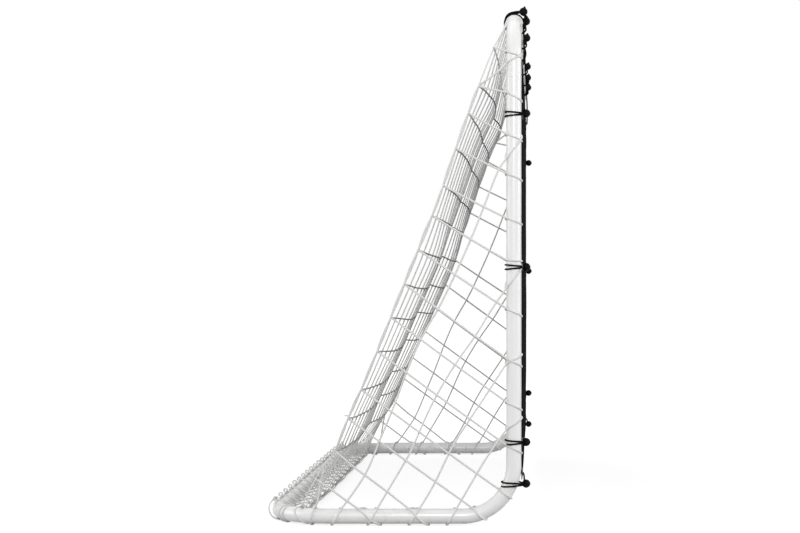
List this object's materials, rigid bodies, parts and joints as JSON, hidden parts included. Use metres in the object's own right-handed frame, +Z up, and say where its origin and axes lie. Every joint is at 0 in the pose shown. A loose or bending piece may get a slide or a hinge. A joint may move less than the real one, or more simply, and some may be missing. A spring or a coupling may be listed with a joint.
{
  "type": "pitch back rebounder",
  "caption": "Free-standing tube goal with a cord net behind and a black rebound sheet tied across its mouth with ball ties; the frame knocks down at sprung snap buttons.",
  "frame": {"origin": "on the ground below the middle of the whole object, halfway between the front of the tie balls and the back of the net lacing on the rear bar", "axes": "+X across the mouth to the right as seen from in front, -Y out of the mouth, +Z up"},
  "size_m": [2.4112, 0.8837, 1.7325],
  "materials": {
    "frame_paint": "gloss white powder coat",
    "net_cord": "braided off-white polyethylene cord",
    "sheet_fabric": "tight black woven mesh",
    "hem_webbing": "black ribbed webbing",
    "elastic_cord": "black braided elastic cord",
    "tie_ball": "black moulded plastic, satin",
    "eyelet_metal": "blackened pressed metal",
    "button_steel": "bright plated steel",
    "spring_steel": "bare spring strip"
  },
  "bodies": {
    "goal": {"crossbar_left": "frame_paint", "top_corner_left": "frame_paint", "post_left": "frame_paint", "base_corner_left": "frame_paint", "side_rail_left": "frame_paint", "rear_corner_left": "frame_paint", "rear_bar_left": "frame_paint", "side_net_left": "net_cord", "side_hem_left": "hem_webbing", "tie_balls_left": "tie_ball", "tie_cords_left": "elastic_cord", "crossbar_right": "frame_paint", "top_corner_right": "frame_paint", "post_right": "frame_paint", "base_corner_right": "frame_paint", "side_rail_right": "frame_paint", "rear_corner_right": "frame_paint", "rear_bar_right": "frame_paint", "side_net_right": "net_cord", "side_hem_right": "hem_webbing", "tie_balls_right": "tie_ball", "tie_cords_right": "elastic_cord", "net_lacing": "net_cord", "back_net_upper": "net_cord", "back_net_lower": "net_cord", "rebound_sheet": "sheet_fabric", "top_hem": "hem_webbing", "bottom_hem": "hem_webbing", "eyelets": "eyelet_metal", "top_cord": "elastic_cord", "tie_balls_top": "tie_ball", "tie_cords_top": "elastic_cord", "button_springs": "spring_steel"},
    "button_crossbar_middle": {"snap_button_crossbar_middle": "button_steel"},
    "button_rear_bar_middle": {"snap_button_rear_bar_middle": "button_steel"},
    "button_crossbar_left": {"snap_button_crossbar_left": "button_steel"},
    "button_post_top_left": {"snap_button_post_top_left": "button_steel"},
    "button_post_foot_left": {"snap_button_post_foot_left": "button_steel"},
    "button_rail_front_left": {"snap_button_rail_front_left": "button_steel"},
    "button_rail_rear_left": {"snap_button_rail_rear_left": "button_steel"},
    "button_rear_bar_left": {"snap_button_rear_bar_left": "button_steel"},
    "button_crossbar_right": {"snap_button_crossbar_right": "button_steel"},
    "button_post_top_right": {"snap_button_post_top_right": "button_steel"},
    "button_post_foot_right": {"snap_button_post_foot_right": "button_steel"},
    "button_rail_front_right": {"snap_button_rail_front_right": "button_steel"},
    "button_rail_rear_right": {"snap_button_rail_rear_right": "button_steel"},
    "button_rear_bar_right": {"snap_button_rear_bar_right": "button_steel"}
  },
  "joints": [
    {"name": "press_crossbar_middle", "type": "slide", "parent": "goal", "child": "button_crossbar_middle", "axis": [0, 0, 1], "range_m": [0, 0.007], "stiffness_N_per_m": 2000, "springref_m": -0.002, "deforming": ["button_springs"]},
    {"name": "press_rear_bar_middle", "type": "slide", "parent": "goal", "child": "button_rear_bar_middle", "axis": [0, 1, 0], "range_m": [0, 0.007], "stiffness_N_per_m": 2000, "springref_m": -0.002, "deforming": ["button_springs"]},
    {"name": "press_crossbar_left", "type": "slide", "parent": "goal", "child": "button_crossbar_left", "axis": [0, 0, 1], "range_m": [0, 0.007], "stiffness_N_per_m": 2000, "springref_m": -0.002, "deforming": ["button_springs"]},
    {"name": "press_post_top_left", "type": "slide", "parent": "goal", "child": "button_post_top_left", "axis": [-1, 0, 0], "range_m": [0, 0.007], "stiffness_N_per_m": 2000, "springref_m": -0.002, "deforming": ["button_springs"]},
    {"name": "press_post_foot_left", "type": "slide", "parent": "goal", "child": "button_post_foot_left", "axis": [-1, 0, 0], "range_m": [0, 0.007], "stiffness_N_per_m": 2000, "springref_m": -0.002, "deforming": ["button_springs"]},
    {"name": "press_rail_front_left", "type": "slide", "parent": "goal", "child": "button_rail_front_left", "axis": [-1, 0, 0], "range_m": [0, 0.007], "stiffness_N_per_m": 2000, "springref_m": -0.002, "deforming": ["button_springs"]},
    {"name": "press_rail_rear_left", "type": "slide", "parent": "goal", "child": "button_rail_rear_left", "axis": [-1, 0, 0], "range_m": [0, 0.007], "stiffness_N_per_m": 2000, "springref_m": -0.002, "deforming": ["button_springs"]},
    {"name": "press_rear_bar_left", "type": "slide", "parent": "goal", "child": "button_rear_bar_left", "axis": [0, 1, 0], "range_m": [0, 0.007], "stiffness_N_per_m": 2000, "springref_m": -0.002, "deforming": ["button_springs"]},
    {"name": "press_crossbar_right", "type": "slide", "parent": "goal", "child": "button_crossbar_right", "axis": [0, 0, 1], "range_m": [0, 0.007], "stiffness_N_per_m": 2000, "springref_m": -0.002, "deforming": ["button_springs"]},
    {"name": "press_post_top_right", "type": "slide", "parent": "goal", "child": "button_post_top_right", "axis": [1, 0, 0], "range_m": [0, 0.007], "stiffness_N_per_m": 2000, "springref_m": -0.002, "deforming": ["button_springs"]},
    {"name": "press_post_foot_right", "type": "slide", "parent": "goal", "child": "button_post_foot_right", "axis": [1, 0, 0], "range_m": [0, 0.007], "stiffness_N_per_m": 2000, "springref_m": -0.002, "deforming": ["button_springs"]},
    {"name": "press_rail_front_right", "type": "slide", "parent": "goal", "child": "button_rail_front_right", "axis": [1, 0, 0], "range_m": [0, 0.007], "stiffness_N_per_m": 2000, "springref_m": -0.002, "deforming": ["button_springs"]},
    {"name": "press_rail_rear_right", "type": "slide", "parent": "goal", "child": "button_rail_rear_right", "axis": [1, 0, 0], "range_m": [0, 0.007], "stiffness_N_per_m": 2000, "springref_m": -0.002, "deforming": ["button_springs"]},
    {"name": "press_rear_bar_right", "type": "slide", "parent": "goal", "child": "button_rear_bar_right", "axis": [0, 1, 0], "range_m": [0, 0.007], "stiffness_N_per_m": 2000, "springref_m": -0.002, "deforming": ["button_springs"]}
  ]
}
